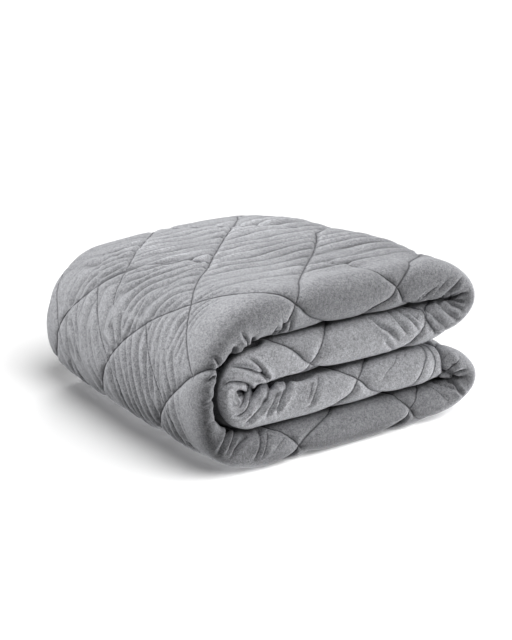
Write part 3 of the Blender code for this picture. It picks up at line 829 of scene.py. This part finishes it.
def cloth_material():
    mat = bpy.data.materials.new("brushed_jersey")
    n = Nodes(mat)
    place = n.add("ShaderNodeTexCoord").outputs["Object"]

    def thread(seam, show, gap):
        """0 on the stitched line, rising to 1 a millimetre or two off it."""
        number = n.attribute(seam)
        off = n.math("ABSOLUTE", n.math("SUBTRACT", n.math("FRACT", n.math("ADD", number, 0.5)), 0.5))
        mm = n.math("MULTIPLY", off, n.attribute(gap))
        return mm, n.attribute(show)

    mm_a, show_a = thread("seam_a", "show_a", "gap_a")
    mm_b, show_b = thread("seam_b", "show_b", "gap_b")

    def line(mm, show, width):
        core = n.math("SUBTRACT", 1.0, n.math("DIVIDE", mm, width), clamp=True)
        return n.math("MULTIPLY", core, show)

    hem_a = n.math("ABSOLUTE", n.attribute("hem_one"))
    hem_b = n.math("ABSOLUTE", n.attribute("hem_two"))
    core = n.math("MAXIMUM", line(mm_a, show_a, 2.2), line(mm_b, show_b, 2.2))
    core = n.math("MAXIMUM", core, n.math("MAXIMUM", line(hem_a, 1.0, 1.2), line(hem_b, 1.0, 1.2)))

    def dip(mm, show):
        """The cloth drawn down to the thread, steepest beside it."""
        return n.math("MULTIPLY", n.math("EXPONENT", n.math("MULTIPLY", mm, -0.5)), show)

    wide = n.math("MAXIMUM", dip(mm_a, show_a), dip(mm_b, show_b))
    wide = n.math("MAXIMUM", wide, n.math("MULTIPLY", n.math("MAXIMUM", dip(hem_a, 1.0), dip(hem_b, 1.0)), 0.7))

    # the narrow valleys between the gathers, for the bump and for painted shade in them
    valley = None
    for name, step in (("tight", RIPPLE_STEP), ("loose", RIPPLE_STEP * 1.45), ("wide", RIPPLE_WIDE)):
        turn = n.attribute(name)
        off = n.math("ABSOLUTE", n.math("SUBTRACT", n.math("FRACT", n.math("ADD", turn, 0.5)), 0.5))
        low = n.math("EXPONENT", n.math("MULTIPLY", n.math("MULTIPLY", off, step), -0.45))
        low = n.math("MULTIPLY", low, n.attribute(name + "_on"))
        valley = low if valley is None else n.math("ADD", valley, low)

    # the sharp bottoms of the creases, for the bump and for painted shade in the crease bottoms
    sharp, crease_painted_shade = None, None
    for k in range(CHANNELS):
        off = n.math("ABSOLUTE", n.attribute("crease_mm_%d" % k))
        on = n.attribute("crease_on_%d" % k)
        fold = n.math("MULTIPLY", n.math("EXPONENT", n.math("MULTIPLY", off, -0.62)), on)
        slit = n.math("MULTIPLY", n.math("SUBTRACT", 1.0, n.math("DIVIDE", off, 1.9), clamp=True), on, clamp=True)
        sharp = fold if sharp is None else n.math("ADD", sharp, fold)
        crease_painted_shade = slit if crease_painted_shade is None else n.math("MAXIMUM", crease_painted_shade, slit)

    # brushed pile: fine clumps, and softer patches where the nap lies over
    fine = n.add("ShaderNodeTexNoise", {"Vector": place, "Scale": 520.0, "Detail": 2.0, "Roughness": 0.6}).outputs["Fac"]
    clump = n.add("ShaderNodeTexNoise", {"Vector": place, "Scale": 210.0, "Detail": 2.0, "Roughness": 0.6}).outputs["Fac"]
    patch = n.add("ShaderNodeTexNoise", {"Vector": place, "Scale": 34.0, "Detail": 3.0, "Roughness": 0.55}).outputs["Fac"]
    broad = n.add("ShaderNodeTexNoise", {"Vector": place, "Scale": 7.0, "Detail": 2.0}).outputs["Fac"]

    grain = n.math("ADD", n.math("MULTIPLY", fine, 0.6), n.math("MULTIPLY", clump, 0.4))
    tone = n.math("ADD", grain, n.math("MULTIPLY", n.math("SUBTRACT", patch, 0.5), 0.10))
    tone = n.math("ADD", tone, n.math("MULTIPLY", n.math("SUBTRACT", broad, 0.5), 0.06))
    ramp = n.add("ShaderNodeValToRGB", {"Fac": tone})
    ramp.color_ramp.elements[0].position = 0.34
    ramp.color_ramp.elements[0].color = (0.178, 0.180, 0.190, 1.0)
    ramp.color_ramp.elements[1].position = 0.66
    ramp.color_ramp.elements[1].color = (0.458, 0.461, 0.481, 1.0)
    # the pile colour scaled by the painted light and shade
    painted_light_colour = n.add("ShaderNodeVectorMath", {0: ramp.outputs["Color"], "Scale": n.attribute("painted_light_and_shade")}, operation="SCALE")
    shade = n.add("ShaderNodeMix", data_type="RGBA", blend_type="MULTIPLY")
    # painted shade: the crease bottoms and the valleys between the gathers are darkened, and the seam and hem lines
    # are darkened for the thread and for painted shade in their grooves
    dark = n.math("MAXIMUM", n.math("MULTIPLY", core, 0.92), n.math("MULTIPLY", crease_painted_shade, 0.58))
    dark = n.math("MAXIMUM", dark, n.math("MULTIPLY", valley, 0.20))
    n.tree.links.new(dark, shade.inputs["Factor"])
    n.tree.links.new(painted_light_colour.outputs[0], shade.inputs[6])
    shade.inputs[7].default_value = (0.25, 0.25, 0.26, 1.0)
    rough = n.add("ShaderNodeMapRange", {"Value": patch, "From Min": 0.3, "From Max": 0.7, "To Min": 0.86, "To Max": 0.98}).outputs[0]

    # height: pile, and the thread drawn down into the cloth
    height = n.math("ADD", n.math("MULTIPLY", fine, 0.0007), n.math("MULTIPLY", clump, 0.0008))
    height = n.math("SUBTRACT", height, n.math("MULTIPLY", core, 0.0007))
    height = n.math("SUBTRACT", height, n.math("MULTIPLY", wide, 0.0028))
    height = n.math("SUBTRACT", height, n.math("MULTIPLY", sharp, 0.0030))
    height = n.math("SUBTRACT", height, n.math("MULTIPLY", valley, 0.0020))
    bumped = n.add("ShaderNodeBump", {"Height": height, "Strength": 0.8, "Distance": 1.0}).outputs[0]

    shader = n.add("ShaderNodeBsdfPrincipled", {
        "Base Color": shade.outputs[2],
        "Roughness": rough,
        "Normal": bumped,
        "Specular IOR Level": 0.12,
        "Sheen Weight": 0.35,
        "Sheen Roughness": 0.55,
        "Sheen Tint": (0.85, 0.86, 0.9, 1.0),
    })
    n.add("ShaderNodeOutputMaterial", {"Surface": shader.outputs[0]})
    return mat


# ============================================================ stage
def plain_material(name, colour, rough, glow):
    mat = bpy.data.materials.new(name)
    n = Nodes(mat)
    shader = n.add("ShaderNodeBsdfPrincipled", {"Base Color": (*colour, 1.0), "Roughness": rough, "Specular IOR Level": 0.0,
                                                  "Emission Color": (1.0, 1.0, 1.0, 1.0), "Emission Strength": glow})
    n.add("ShaderNodeOutputMaterial", {"Surface": shader.outputs[0]})
    return mat


def set_stage(blanket):
    mesh = bpy.data.meshes.new("floor")
    r = 30.0
    mesh.from_pydata([(-r, -r, 0), (r, -r, 0), (r, r, 0), (-r, r, 0)], [], [(0, 1, 2, 3)])
    floor = bpy.data.objects.new("floor", mesh)
    bpy.context.scene.collection.objects.link(floor)
    floor.location.z = -0.0002
    mesh.materials.append(plain_material("floor_white", (0.90, 0.90, 0.90), 0.9, FLOOR_GLOW))
    floor.visible_diffuse = False
    floor.visible_shadow = False

    world = bpy.data.worlds.new("studio")
    world.use_nodes = True
    back = world.node_tree.nodes["Background"]
    back.inputs["Color"].default_value = (1.0, 1.0, 1.0, 1.0)
    back.inputs["Strength"].default_value = WORLD
    bpy.context.scene.world = world
    for name, az, el, energy, spread in LIGHTS:
        a, e = math.radians(az), math.radians(el)
        way = Vector((math.sin(a) * math.cos(e), -math.cos(a) * math.cos(e), math.sin(e)))
        data = bpy.data.lights.new(name, "SUN")
        data.energy, data.angle = energy, math.radians(spread)
        lamp = bpy.data.objects.new(name, data)
        bpy.context.scene.collection.objects.link(lamp)
        lamp.location = way * 3.0
        lamp.rotation_euler = way.to_track_quat("Z", "Y").to_euler()
        only = bpy.data.collections.new(name + "_lights")
        only.objects.link(floor if name.startswith("floor") else blanket)
        lamp.light_linking.receiver_collection = only


def set_camera():
    az, el = math.radians(CAM_AZ), math.radians(CAM_EL)
    way = Vector((math.sin(az) * math.cos(el), -math.cos(az) * math.cos(el), math.sin(el)))
    target = Vector(CAM_TARGET) - Vector(FOOTPRINT_MIDDLE)
    data = bpy.data.cameras.new("camera")
    cam = bpy.data.objects.new("camera", data)
    bpy.context.scene.collection.objects.link(cam)
    cam.location = target + way * CAM_DIST
    cam.rotation_euler = (-way).to_track_quat("-Z", "Y").to_euler()
    data.sensor_width = 36.0
    data.sensor_fit = "AUTO"
    data.lens = CAM_FOCAL_PX / 640.0 * 36.0
    data.clip_end = 200.0
    bpy.context.scene.camera = cam


def main():
    set_camera()
    blanket = build_sheet()
    set_stage(blanket)
    blanket.data.materials.append(cloth_material())
    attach(blanket, "root")
    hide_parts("blanket")
    view = bpy.context.scene.view_settings
    view.view_transform = "Standard"
    view.look = "None"
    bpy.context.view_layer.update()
    tris = sum(len(p.vertices) - 2 for p in blanket.data.polygons)
    print("blanket:", len(blanket.data.vertices), "vertices,", tris, "triangles")


main()
